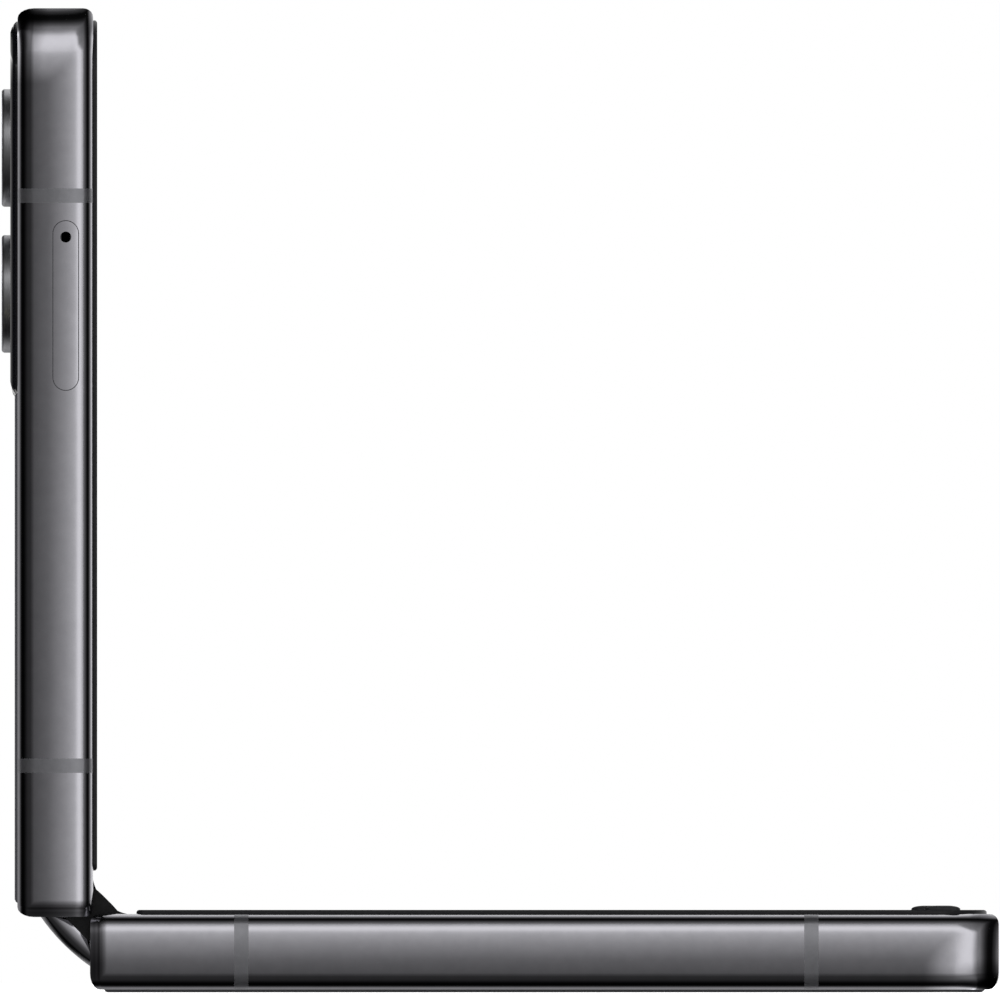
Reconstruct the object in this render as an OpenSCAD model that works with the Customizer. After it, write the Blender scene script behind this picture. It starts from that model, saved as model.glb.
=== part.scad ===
// Clamshell folding phone, half open at a right angle.
// Each half is drawn in its own frame: u runs from the hinge end, y across, w from the back to the screen.
// The hinge is drawn in the spine frame: p across the fold, y along it, q towards the screen.

/* [Body] */
// Length of one half, hinge end to free end
half_len = 82.4; // [78:0.2:88]
// Width of the phone
body_w = 71.9; // [68:0.1:76]
// Thickness of one half, back glass to frame edge
body_t = 7.1; // [7:0.05:7.6]
// Plan radius of the corners at the free ends
free_r = 7; // [5:0.5:9]
// Plan radius of the corners at the hinge
hinge_r = 1.05; // [1:0.05:1.5]
// Thickness of the frame's side wall
rim_t = 1.6; // [1.4:0.1:1.9]
// Thickness of the plate under the screen
plate_t = 0.8; // [0.6:0.05:1]

/* [Hinge] */
// Gap between the halves when the phone lies open
open_gap = 0.3; // [0.2:0.05:0.5]
// Distance of each turning axis from the middle of the fold
axis_d = 2.2; // [2.15:0.05:2.3]
// Depth of the turning axes under the frame edge
axis_h = 1.34; // [1.3:0.02:1.36]
// Radius of the spine's outer sides about the turning axes
spine_r = 3.95; // [3.9:0.01:4]
// Crown of the spine's back over the line of its sides
spine_crown = 0.17; // [0.1:0.01:0.18]
// Wall of the spine
spine_t = 0.85; // [0.75:0.05:0.9]
// Distance of the spine's ends from the phone's sides
spine_in = 1.95; // [1.9:0.05:2.3]
// Teeth of each timing gear
gear_teeth = 10; // [8:1:12]
// Pitch radius of the timing gears
gear_r = 0.8; // [0.76:0.01:0.82]
// Length of the synchronising levers
lever_len = 4; // [3.9:0.05:4.1]
// Distance of each hinge module from the middle of the phone
module_y = 20; // [16:0.5:20.5]

/* [Screen] */
// Thickness of the flexible screen
screen_t = 0.5; // [0.4:0.05:0.55]
// Depth of the screen's face under the frame edge
screen_sink = 0.08; // [0.05:0.01:0.12]
// Radius of the screen's fold at a right angle
fold_r = 4; // [3.8:0.1:4.2]
// Height of the screen's rim above the frame edge
bezel_h = 0.37; // [0.3:0.01:0.45]
// Width of the screen's rim
bezel_w = 2.8; // [2.4:0.1:3]

/* [Back] */
// Thickness of the back glass
glass_t = 0.85; // [0.7:0.05:0.9]
// Length of the raised window over the cameras
window_len = 34.8; // [32:0.2:36]
// Height of the raised window above the back glass
window_h = 0.4; // [0.2:0.05:0.6]
// Outer radius of a camera ring
ring_r = 5.4; // [4.8:0.1:5.6]
// Height of a camera ring above its window
ring_h = 0.9; // [0.6:0.05:1.2]

/* [Side openings] */
// Length of the card tray's face
tray_len = 15.3; // [14.8:0.1:16]
// Height of the card tray's face
tray_h = 2.26; // [2.1:0.02:2.4]
// Length of the volume key
volume_len = 13; // [11:0.5:14]
// Length of the side key
side_key_len = 12; // [10:0.5:13]
// Height of the keys
key_h = 2; // [1.8:0.1:2.2]
// Width of an antenna break
band_w = 1.3; // [1:0.1:1.6]

/* [Hidden] */
$fn = 64;
tilt = 45;                                   // turn of each half from flat at rest
eps = 0.01;
seat_gap = 0.05;                             // clearance of a piece in its seat
run_gap = 0.03;                              // radial clearance of a shaft in its bearing
half_w = body_w / 2;
spine_w = body_w - 2 * spine_in;
frame_w0 = 0.25;                             // the frame's back edge, just above the glass
back_in = 0.9;                               // rounding of the back edge, inwards and upwards
back_up = 1.5;
front_in = 0.8;                              // rounding of the screen edge
front_up = 0.9;
edge_steps = 5;
corner_steps = 7;
axis_u = axis_d - open_gap / 2;              // the turning axis in a half's own frame
axis_w = body_t - axis_h;
floor_w = glass_t;                           // inside face of the back glass
plate_top = body_t - screen_sink - screen_t - 0.04;
plate_low = plate_top - plate_t;
recess_r = spine_r + 0.19;                   // hollow that the spine turns in
crown_room = 0.08;                           // extra depth under the spine's crown
recess_y = spine_w / 2 + 0.3;
recess_u = axis_u + recess_r;
ledge_u = recess_u + 4.8;                    // solid ledge that carries the hinge feet
cavity_y = half_w - rim_t;
glass_in = 1.2;                              // inset of the back glass from the outline
glass_r = 0.5;                               // its corners at the hinge
screen_u = fold_tangent(body_t - screen_sink, fold_r);
screen_y = spine_w / 2 - 1.1;
screen_end = half_len - 2.6;
rim_y = half_w - 0.95;                       // outer edge of the screen's rim
side_flat_w = (frame_w0 + back_up + body_t - front_up) / 2;
side_w = side_flat_w + 0.65;                 // height of the tray and the keys
band_u = [13.7, half_len - 17.1];
tray_u = half_len - 27.05;
tray_gap = 0.07;                             // gap round the tray's face
works_u = tray_u - 9.35;                     // where the upper cell ends and its board starts
lower_works_u = half_len - 24.4;
speaker_y = half_w - 23.35;                  // side of the lower board where the loudspeaker starts
tray_depth = 18;
tray_plate_t = 0.7;
volume_u = half_len - 26;
side_key_u = half_len - 45;
key_out = 0.45;
switch_y = cavity_y - 0.9;                   // face of the switch board behind the keys
lens_y = half_w - 12.45;
lens_u = [half_len - 11.8, half_len - 25.2];
lens_r = 3.85;
board_w = 1.8;
board_t = 0.8;
screw_r = 0.65;
head_r = 1.25;
battery_top = plate_low - 0.4;

// ---- places ----
spine_x = -half_len / 2 + axis_u - axis_d * cos(tilt) + axis_h * sin(tilt);
spine_z = axis_w + axis_d * sin(tilt) + axis_h * cos(tilt);
module on_lower() { translate([-half_len / 2, 0, 0]) children(); }
module on_spine() { translate([spine_x, 0, spine_z]) rotate([0, tilt, 0]) children(); }
module on_upper() {
    on_spine() mirror([1, 0, 0]) rotate([0, -tilt, 0]) translate([-spine_x, 0, -spine_z])
        on_lower() children();
}
module both_sides() { for (s = [-1, 1]) scale([1, 1, 1]) mirror([0, (1 - s) / 2, 0]) children(); }

// Where a tangent fold of radius r under a face at height w meets the half's straight part
function mid_u(w) = (w - axis_w) * tan(tilt) - axis_d / cos(tilt) + axis_u;
function fold_tangent(w, r) = mid_u(w) + r * tan(tilt);
// Height q of that fold's centre in the spine frame
function fold_q(w, r) = -axis_h + (mid_u(w) - axis_u) * sin(tilt) + (w - axis_w) * cos(tilt)
    + r / cos(tilt);

// ---- shapes ----
function slab_ring(u0, u1, hw, rh, rf, inset, w) = [
    for (c = [[u0 + rh, -hw + rh, rh, 180], [u1 - rf, -hw + rf, rf, 270],
              [u1 - rf, hw - rf, rf, 0], [u0 + rh, hw - rh, rh, 90]])
        for (k = [0 : corner_steps])
            let (a = c[3] + 90 * k / corner_steps)
                [c[0] + (c[2] - inset) * cos(a), c[1] + (c[2] - inset) * sin(a), w]];
// Rounded slab whose edge follows a profile of [inset, height] steps
module slab(u0, u1, hw, rh, rf, profile) {
    n = 4 * (corner_steps + 1);
    last = len(profile) - 1;
    points = [for (s = profile) each slab_ring(u0, u1, hw, rh, rf, s[0], s[1])];
    sides = [for (i = [0 : last - 1]) for (k = [0 : n - 1])
        let (m = (k + 1) % n) [i * n + k, (i + 1) * n + k, (i + 1) * n + m, i * n + m]];
    polyhedron(points, concat([[for (k = [0 : n - 1]) k]],
        [[for (k = [n - 1 : -1 : 0]) last * n + k]], sides), convexity = 4);
}
module rounded(l, w, r) {
    square([l, w - 2 * r], center = true);
    square([l - 2 * r, w], center = true);
    for (x = [-1, 1]) for (y = [-1, 1]) translate([x * (l / 2 - r), y * (w / 2 - r)]) circle(r);
}
// Box from two corners, with its upright edges rounded
module block(low, high, r = 0) {
    size = high - low;
    translate([(low[0] + high[0]) / 2, (low[1] + high[1]) / 2, low[2]]) linear_extrude(size[2])
        if (r > 0) rounded(size[0], size[1], r);
        else square([size[0], size[1]], center = true);
}
// Bar along y with round ends in u, for keys, trays and sockets
module stadium_y(l, h, y0, y1) {
    translate([0, y1, 0]) rotate([90, 0, 0]) linear_extrude(y1 - y0) {
        square([l - h, h], center = true);
        for (x = [-1, 1]) translate([x * (l - h) / 2, 0]) circle(h / 2);
    }
}
module rod_y(r, y0, y1) { translate([0, y1, 0]) rotate([90, 0, 0]) cylinder(r = r, h = y1 - y0); }
// Extrudes a p-q drawing along y
module along_y(y0, y1) { translate([0, y1, 0]) rotate([90, 0, 0]) linear_extrude(y1 - y0) children(); }

frame_profile = concat(
    [for (i = [0 : edge_steps]) let (a = 90 * i / edge_steps)
        [back_in * (1 - sin(a)), frame_w0 + back_up * (1 - cos(a))]],
    [for (i = [0 : edge_steps]) let (a = 90 * i / edge_steps)
        [front_in * (1 - cos(a)), body_t - front_up * (1 - sin(a))]]);
module half_shell() { slab(0, half_len, half_w, hinge_r, free_r, frame_profile); }
module bands() {
    both_sides() for (u = band_u) translate([u - band_w / 2, half_w - 0.7, 0])
        cube([band_w, 2, body_t + 1]);
}

// ---- one half's frame: rim, plate under the screen, hinge hollow and ledge ----
foot_u = 10.4;
foot_low = axis_w - 0.16;
foot_top = axis_w + 0.4;
screw_spots = [[ledge_u + 4, half_w - 6], [ledge_u + 4, 6 - half_w], [half_len - 16, half_w - 27.95],
    [half_len - 16, 15.95 - half_w]];
module feet_seats() {
    for (m = [-1, 1]) translate([recess_u - 1, m * module_y - 9.3, foot_low])
        cube([foot_u - recess_u + 1.05, 14, 2]);
}
module half_frame() {
    difference() {
        half_shell();
        bands();
        // seat of the back glass
        slab(glass_in - seat_gap, half_len - glass_in + seat_gap, half_w - glass_in + seat_gap,
            glass_r + seat_gap, free_r - glass_in + seat_gap, [[0, -1], [0, glass_t]]);
        // room for the battery and boards
        block([ledge_u, -cavity_y, glass_t - eps], [half_len - rim_t, cavity_y, plate_low], 4);
        // seat of the screen
        block([-1, -screen_y - 0.3, plate_top], [screen_end + 0.3, screen_y + 0.3, body_t + 1]);
        // hollow for the spine
        translate([axis_u, 0, axis_w]) rod_y(recess_r, -recess_y, recess_y);
        block([-1, -recess_y, axis_w - recess_r - crown_room], [axis_u, recess_y, body_t + 1]);
        block([-1, -recess_y, axis_w], [recess_u, recess_y, body_t + 1]);
        // seats of the hinge feet and of the wing plate
        feet_seats();
        block([recess_u - 1, -screen_y - 0.1, plate_top - 0.3], [8.1, screen_y + 0.1, body_t]);
        // way of the flex cable
        block([recess_u - 1, -5.4, axis_w - 0.7], [ledge_u + 1, 5.4, axis_w - 0.1]);
    }
    for (s = screw_spots) translate([s[0], s[1], board_w + board_t]) difference() {
        cylinder(r = 1.7, h = plate_low - board_w - board_t + eps);
        translate([0, 0, -eps]) cylinder(r = screw_r + 0.02, h = 2.5);
    }
}
module half_breaks() {
    intersection() {
        half_shell();
        difference() {
            bands();
            translate([-1, -half_w + 0.7, -1]) cube([half_len + 2, body_w - 1.4, body_t + 2]);
        }
    }
}
module half_screws() {
    for (s = screw_spots) translate([s[0], s[1], board_w]) {
        cylinder(r = screw_r, h = board_t + 2);
        translate([0, 0, -0.5]) difference() {
            cylinder(r = head_r, h = 0.5);
            translate([0, 0, -eps]) for (a = [0, 90]) rotate(a) translate([-0.75, -0.16, 0])
                cube([1.5, 0.32, 0.25]);
        }
    }
}
module screw_holes() {
    for (s = screw_spots) translate([s[0], s[1], board_w - 1]) cylinder(r = screw_r + 0.1, h = 3);
}
module half_rim() {
    translate([0, 0, body_t]) difference() {
        slab(screen_u + 0.07, half_len - 1.1, rim_y, 0.6, free_r - 1.1,
            [[0, 0], [0, bezel_h * 0.55], [0.12, bezel_h * 0.9], [0.25, bezel_h]]);
        block([-1, -rim_y + bezel_w, -1], [half_len - 1.1 - bezel_w, rim_y - bezel_w, 2], 3.4);
        block([-1, -rim_y + bezel_w, -1], [20, rim_y - bezel_w, 2]);
    }
}
module half_screen() {
    block([screen_u, -screen_y, body_t - screen_sink - screen_t],
        [screen_end - 6, screen_y, body_t - screen_sink]);
    block([screen_end - 14, -screen_y, body_t - screen_sink - screen_t],
        [screen_end, screen_y, body_t - screen_sink], 3);
}
module half_wing() {
    difference() {
        block([1.6, -screen_y, plate_top - 0.28], [8, screen_y, plate_top - eps]);
        for (m = [-1, 1]) translate([1, m * module_y - 9.6, 0]) cube([6.4, 20.8, body_t]);
    }
}

// ---- hinge sections along y, from each module's own place ----
rail_r = [2.3, 2.9];                         // inner and outer radius of an arc rail
rail_sweep = 150;
rail_y = [[-7.8, -5.2], [-4.2, -1.6]];       // lower half's rail, upper half's rail
gear_y = [-0.3, 1.1];
lever_y = [2.1, 3.1];
lug_y = [3.25, 4.15];
spring_y = [6.1, 9.6];
shaft_r = 0.35;
pin_r = 0.3;
pin_play = 0.07;
shaft_p = axis_d - 0.6;                      // lever shafts, equally far in and down from the axes
shaft_q = -axis_h - 0.6;
idler_p = gear_r;
idler_q = shaft_q - sqrt(4 * gear_r * gear_r - pow(shaft_p - idler_p, 2));
pin_u = axis_u - 0.6 * sqrt(2) + lever_len;
slot_run = 0.26;                             // travel of the pin along its slot
module modules() { for (m = [-1, 1]) translate([0, m * module_y, 0]) children(); }
module sector(r0, r1, a0, a1) {
    difference() {
        circle(r1);
        circle(r0);
        rotate(a1) translate([-2 * r1, 0]) square([4 * r1, 2 * r1]);
        rotate(a0) translate([-2 * r1, -2 * r1]) square([4 * r1, 2 * r1]);
    }
}
// Arc rail that turns about the virtual axis, its link, the foot on the frame and the slotted lug
module half_rotators(rail) {
    modules() {
        translate([axis_u, 0, axis_w]) {
            along_y(rail[0], rail[1]) difference() {
                circle(rail_r[1]);
                circle(rail_r[0]);
                polygon([[0, 0], [9, 0], [9, 9], [-9, 9], [-9, -9 * tan(180 - rail_sweep)]]);
            }
            translate([rail_r[0], rail[0], -0.1])
                cube([foot_u - 3 - axis_u - rail_r[0], rail[1] - rail[0], 0.5]);
        }
        difference() {
            translate([recess_u + 0.1, -9.2, foot_low + eps])
                cube([foot_u - recess_u - 0.1, 13.6, foot_top - foot_low - eps]);
            for (y = [-6.5, 0]) translate([8.9, y, 0]) cylinder(r = 0.6, h = body_t);
        }
        difference() {
            translate([pin_u - 0.75, lug_y[0], axis_w - 0.62])
                cube([recess_u + 0.1 - pin_u + 0.75 + eps, lug_y[1] - lug_y[0], 1.22]);
            translate([pin_u + slot_run / 2, 0, axis_w])
                stadium_y(2 * (pin_r + pin_play) + slot_run, 2 * (pin_r + pin_play), 0, 9);
            translate([pin_u + 1, lug_y[0] - 1, axis_w - 1]) cube([9, 3, 0.6]);
        }
    }
}
module half_flex() {
    r = 3.2;
    w = axis_w - 0.46;
    block([fold_tangent(w, r), -5, w], [14, 5, w + 0.12]);
    block([13, -5, w - 1], [16, 5, w]);
}

// ---- lower half ----
module lower_frame() {
    color("#5d5d62") on_lower() difference() {
        half_frame();
        usb_hole(0.05);
        for (i = [0 : 5]) translate([half_len - 4, 13 + 1.7 * i, side_w]) rotate([0, 90, 0])
            cylinder(r = 0.5, h = 6);
        translate([half_len - 4, -10, side_w]) rotate([0, 90, 0]) cylinder(r = 0.45, h = 6);
    }
}
usb_w = 8.9;
usb_h = 3.1;
usb_deep = 8;
module usb_hole(gap) {
    translate([half_len - usb_deep - gap, 0, side_w - 0.6]) rotate([90, 0, 90])
        linear_extrude(usb_deep + 2) {
            square([usb_w - usb_h, usb_h + 2 * gap], center = true);
            for (y = [-1, 1]) translate([y * (usb_w - usb_h) / 2, 0]) circle(usb_h / 2 + gap);
        }
}
module lower_antenna_breaks() { color("#6f6f74") on_lower() half_breaks(); }
module back_glass(u1, r1) {
    slab(glass_in, u1, half_w - glass_in, glass_r, r1,
        [[0.4, 0], [0.17, 0.12], [0, 0.35], [0, glass_t]]);
}
module lower_back_glass() { color("#3a3a3d") on_lower() back_glass(half_len - glass_in, free_r - glass_in); }
module charging_coil() {
    color("#a8703c") on_lower() translate([(ledge_u + 9 + lower_works_u) / 2, 0, glass_t]) difference() {
        for (i = [0 : 5]) difference() {
            cylinder(r = 20 - 1.5 * i, h = 0.2);
            translate([0, 0, -1]) cylinder(r = 19 - 1.5 * i, h = 2);
        }
    }
}
module lower_battery() {
    color("#27272a") on_lower() cell(lower_works_u);
}
module board_plate(u0, u1, y0, y1) {
    difference() {
        block([u0, y0, board_w], [u1, y1, board_w + board_t], 1);
        screw_holes();
    }
}
module cell(end_u) {
    block([ledge_u + 9, 10 - half_w, glass_t + 0.2], [end_u, half_w - 10, battery_top], 1.5);
}
module lower_board() {
    color("#1f5a3c") on_lower() {
        difference() {
            board_plate(lower_works_u + 2, half_len - 3, 4 - half_w, speaker_y - 1);
            block([half_len - usb_deep - 0.1, -usb_w / 2 - 0.1, 0], [half_len, usb_w / 2 + 0.1, body_t]);
        }
        board_plate(ledge_u + 1, ledge_u + 8, 4 - half_w, half_w - 4);
        for (i = [0 : 3]) translate([lower_works_u + 4, -18 + 5 * i, board_w + board_t])
            block([0, 0, 0], [4, 3, 0.9]);
    }
}
module usb_port() {
    color("#b9b9bd") on_lower() {
        difference() {
            intersection() {
                usb_hole(0);
                translate([0, -9, 0]) cube([half_len - 0.5, 18, body_t]);
            }
            translate([half_len - usb_deep + 0.7, 0, side_w - 0.6]) rotate([90, 0, 90])
                linear_extrude(usb_deep) {
                    square([usb_w - usb_h, usb_h - 0.5], center = true);
                    for (y = [-1, 1]) translate([y * (usb_w - usb_h) / 2, 0]) circle(usb_h / 2 - 0.25);
                }
        }
        // ears that are soldered to the board on each side
        both_sides() {
            block([half_len - 7, usb_w / 2 - 0.15, board_w + board_t],
                [half_len - 4, usb_w / 2 + 1.4, board_w + board_t + 0.35]);
            block([half_len - 7, usb_w / 2 - 0.15, board_w + board_t],
                [half_len - 4, usb_w / 2 + 0.3, side_w - 0.6]);
        }
    }
}
module usb_tongue() {
    color("#1c1c1e") on_lower() block([half_len - usb_deep + 0.7, -3.35, side_w - 0.95],
        [half_len - 1.2, 3.35, side_w - 0.25], 0.3);
}
module loudspeaker() {
    color("#202022") on_lower() difference() {
        block([lower_works_u + 2, speaker_y, floor_w + 0.1], [half_len - 2.2, half_w - 3.5, battery_top], 1.5);
        translate([lower_works_u + 6, speaker_y + 3.4, battery_top - 0.3]) cube([8, 9, 1]);
    }
}
module vibration_motor() {
    color("#8f8f94") on_lower() translate([half_len - 12.4, 11 - half_w, board_w + board_t]) {
        cylinder(r = 4.2, h = 2.2);
        cylinder(r = 3, h = 2.5);
    }
}
module lower_screen_rim() { color("#151516") on_lower() half_rim(); }
module lower_screen() { color("#0b0b0d") on_lower() half_screen(); }
module screen_bumpers() {
    color("#121213") on_lower() both_sides() translate([half_len - 5.2, 0, body_t + bezel_h])
        translate([0, rim_y - 1.5, 0]) {
            linear_extrude(0.25) rounded(2.8, 1.4, 0.69);
            linear_extrude(0.4) rounded(2, 1, 0.49);
        }
}
module lower_wing_plate() { color("#77777b") on_lower() half_wing(); }
module lower_rotators() { color("#85858a") on_lower() half_rotators(rail_y[0]); }
module lower_flex() { color("#b07a2c") on_lower() half_flex(); }
module lower_screws() { color("#9a9a9e") on_lower() half_screws(); }

// ---- upper half ----
module side_slot(u, l, h, s) { translate([u, 0, side_w]) stadium_y(l, h, s * half_w - 3, s * half_w + 3); }
module upper_frame() {
    color("#5d5d62") on_upper() difference() {
        half_frame();
        side_slot(tray_u, tray_len + 2 * tray_gap, tray_h + 2 * tray_gap, -1);
        side_slot(volume_u, volume_len + 0.2, key_h + 0.2, 1);
        side_slot(side_key_u, side_key_len + 0.2, key_h + 0.2, 1);
        translate([half_len - 4, 16, side_w]) rotate([0, 90, 0]) cylinder(r = 0.45, h = 6);
        for (u = lens_u) translate([u, lens_y, 0]) cylinder(r = 5.6, h = plate_low);
    }
}
module upper_antenna_breaks() { color("#6f6f74") on_upper() half_breaks(); }
module upper_back_glass() { color("#3a3a3d") on_upper() back_glass(half_len - window_len - seat_gap, 0.6); }
module camera_window() {
    color("#08080a") on_upper() difference() {
        slab(half_len - window_len, half_len - glass_in, half_w - glass_in, 0.95, free_r - glass_in,
            [[0.9, -window_h], [0.5, -window_h * 0.7], [0.15, 0], [0, 0.15], [0, glass_t]]);
        for (u = lens_u) translate([u, lens_y, -2]) cylinder(r = 4.65, h = 4);
        translate([flash_u, flash_y, -2]) cylinder(r = flash_r + 0.03, h = 4);
    }
}
flash_u = half_len - 29;
flash_y = lens_y - 8.7;
flash_r = 1.7;
module flash_lens() {
    color("#e8e2b8") on_upper() translate([flash_u, flash_y, -window_h - 0.02]) {
        cylinder(r = flash_r, h = glass_t + window_h);
        translate([0, 0, glass_t]) cylinder(r = 1.2, h = board_w - glass_t + window_h + 0.02);
    }
}
module cover_display() {
    color("#101014") on_upper() block([half_len - 29.5, 5 - half_w, glass_t],
        [half_len - 7.5, lens_y - 11.5, glass_t + 0.4], 2);
}
module camera_rings() {
    color("#3c3c40") on_upper() for (u = lens_u) translate([u, lens_y, 0]) difference() {
        union() {
            translate([0, 0, -window_h - ring_h]) cylinder(r = ring_r - 0.2, h = 0.2);
            translate([0, 0, -window_h - ring_h + 0.2]) cylinder(r = ring_r, h = ring_h - 0.2);
            translate([0, 0, -window_h]) cylinder(r = 4.6, h = glass_t + window_h);
        }
        translate([0, 0, -window_h - ring_h - 1]) cylinder(r = lens_r + 0.03, h = 1.8);
        translate([0, 0, -3]) cylinder(r = 3.3, h = 6);
    }
}
module camera_lenses() {
    color("#16161c") on_upper() for (u = lens_u)
        translate([u, lens_y, -window_h - ring_h + 0.15]) cylinder(r = lens_r, h = 0.65);
}
module camera_modules() {
    color("#2b2b30") on_upper() for (u = lens_u) translate([u, lens_y, 0]) {
        translate([0, 0, -window_h - ring_h + 0.8]) difference() {
            cylinder(r = 3.2, h = 2.6);
            translate([0, 0, -eps]) cylinder(r1 = 2.6, r2 = 1.3, h = 1);
        }
        translate([0, 0, glass_t + 0.2]) cylinder(r = 5.1, h = plate_low - glass_t - 0.3);
    }
}
module upper_battery() {
    color("#27272a") on_upper() cell(works_u);
}
module main_board() {
    color("#1f5a3c") on_upper() {
        difference() {
            board_plate(works_u + 1.5, half_len - 3, 3.5 - half_w, half_w - 3.5);
            for (u = lens_u) translate([u, lens_y, 0]) cylinder(r = 5.7, h = 9);
            translate([flash_u, flash_y, 0]) cylinder(r = 1.5, h = board_w + 0.1);
        }
        board_plate(ledge_u + 1, ledge_u + 8, 4 - half_w, half_w - 4);
        for (c = [[works_u + 5, -8, 9, 9], [works_u + 6, 3, 8, 8], [works_u + 15, -6, 10, 12]])
            block([c[0], c[1], board_w + board_t], [c[0] + c[2], c[1] + c[3], board_w + board_t + 1.3]);
    }
}
module earpiece() {
    color("#303034") on_upper() block([half_len - 8, 10 - half_w, board_w + board_t], [half_len - 3.2, -11, plate_low], 1);
}
module front_camera() {
    color("#0c0c12") on_upper() translate([half_len - 6, 0, board_w + board_t])
        cylinder(r = 2.4, h = plate_low - board_w - board_t);
}
module upper_screen_rim() { color("#151516") on_upper() half_rim(); }
module upper_screen() { color("#0b0b0d") on_upper() half_screen(); }
module upper_wing_plate() { color("#77777b") on_upper() half_wing(); }
module upper_rotators() { color("#85858a") on_upper() half_rotators(rail_y[1]); }
module upper_flex() { color("#b07a2c") on_upper() half_flex(); }
module upper_screws() { color("#9a9a9e") on_upper() half_screws(); }
card_u = tray_u - 0.6;
module card_socket() {
    color("#a9a9ad") on_upper() difference() {
        block([tray_u - tray_len / 2 - 0.55, -cavity_y + 0.3, board_w + board_t],
            [tray_u + tray_len / 2 + 0.55, -cavity_y + tray_depth + 1.2, plate_low - eps]);
        block([tray_u - tray_len / 2 + 0.3, -half_w, side_w - tray_plate_t / 2 - 0.06],
            [tray_u + tray_len / 2 - 0.3, -cavity_y + tray_depth - 0.6, side_w + tray_plate_t / 2 + 0.06]);
    }
}
module sim_tray() {
    color("#66666b") on_upper() difference() {
        union() {
            translate([tray_u, 0, side_w]) stadium_y(tray_len, tray_h, -half_w, -half_w + 1.5);
            block([tray_u - tray_len / 2 + 0.45, -half_w + 1.5 - eps, side_w - tray_plate_t / 2],
                [tray_u + tray_len / 2 - 0.45, -half_w + tray_depth + 0.8, side_w + tray_plate_t / 2]);
        }
        block([card_u - 6.25, -half_w + 4.9, side_w - 1], [card_u + 6.25, -half_w + 13.9, side_w + 1], 0.8);
        translate([tray_u + tray_len / 2 - 1.45, 0, side_w]) rod_y(0.5, -half_w - 1, -half_w + 1.6);
    }
}
module sim_card() {
    color("#c9b26a") on_upper() block([card_u - 6.15, -half_w + 5, side_w - 0.33],
        [card_u + 6.15, -half_w + 13.8, side_w + 0.33], 0.8);
}
module key_switches() {
    color("#3a3a3e") on_upper() {
        block([side_key_u - 8, switch_y - 0.35, side_w - key_h / 2], [volume_u + 8, switch_y, side_w + key_h / 2]);
        for (u = [volume_u - 4, volume_u + 4]) translate([u, 0, side_w])
            rod_y(0.8, switch_y - eps, switch_y + 0.25);
        translate([side_key_u, 0, side_w]) rod_y(0.8, switch_y - eps, switch_y + 0.12);
    }
}
module key(u, l, out) {
    translate([u, 0, side_w]) {
        stadium_y(l, key_h, cavity_y - 0.25, half_w + out);
        stadium_y(l + 1.2, key_h, cavity_y - 0.55, cavity_y - 0.2);
    }
}
module volume_key() {
    color("#66666b") on_upper() {
        key(volume_u, volume_len, key_out);
        // round rib that it rocks on
        translate([volume_u, cavity_y - 0.35, side_w - key_h / 2]) cylinder(r = 0.25, h = key_h);
    }
}
module side_key() { color("#4b4b50") on_upper() key(side_key_u, side_key_len, 0.1); }

// ---- hinge ----
crown_p = axis_d + 0.95;
// Radius of the crown that passes through the circles of radius r at crown_p
function crown_rise(r) = spine_crown + r - sqrt(r * r - pow(crown_p - axis_d, 2));
function crown_arc(r) = (crown_p * crown_p + pow(crown_rise(r), 2)) / (2 * crown_rise(r));
module trough_section(r) {
    intersection() {
        union() {
            for (s = [-1, 1]) translate([s * axis_d, -axis_h]) circle(r);
            translate([-axis_d, -axis_h - r]) square([2 * axis_d, r]);
            // low arc over the middle, which meets both side circles
            intersection() {
                translate([0, crown_arc(r) - axis_h - r - spine_crown]) circle(crown_arc(r), $fn = 360);
                translate([-crown_p, -9]) square([2 * crown_p, 9 - axis_h]);
            }
        }
        translate([-9, -9]) square([18, 9 - trough_top]);
    }
}
trough_top = 2.1;                            // depth of the spine's rims under the frame edge
end_band = 3.66;                             // depth of the line where the end cap starts
module spine_cover() {
    color("#6a6a70") on_spine() difference() {
        along_y(-spine_w / 2, spine_w / 2) trough_section(spine_r);
        along_y(-spine_w / 2 + 1, spine_w / 2 - 1) trough_section(spine_r - spine_t);
        for (s = [-1, 1]) translate([-9, s * spine_w / 2 - 2, -end_band]) cube([18, 4, 9]);
    }
}
module fold_end_caps() {
    color("#18181a") on_spine() both_sides() along_y(spine_w / 2 - 0.95, spine_w / 2 - 0.1) {
        polygon([[-1.49, -2.3], [-1.49, 0.13], [-0.7, 0.18], [0.7, 0.18], [1.49, 0.13], [1.49, -2.3]]);
        intersection() {
            trough_section(spine_r - spine_t - 0.05);
            translate([-9, -end_band + eps]) square([18, 9]);
        }
    }
}
block_y = [-9, 10.8];
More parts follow.
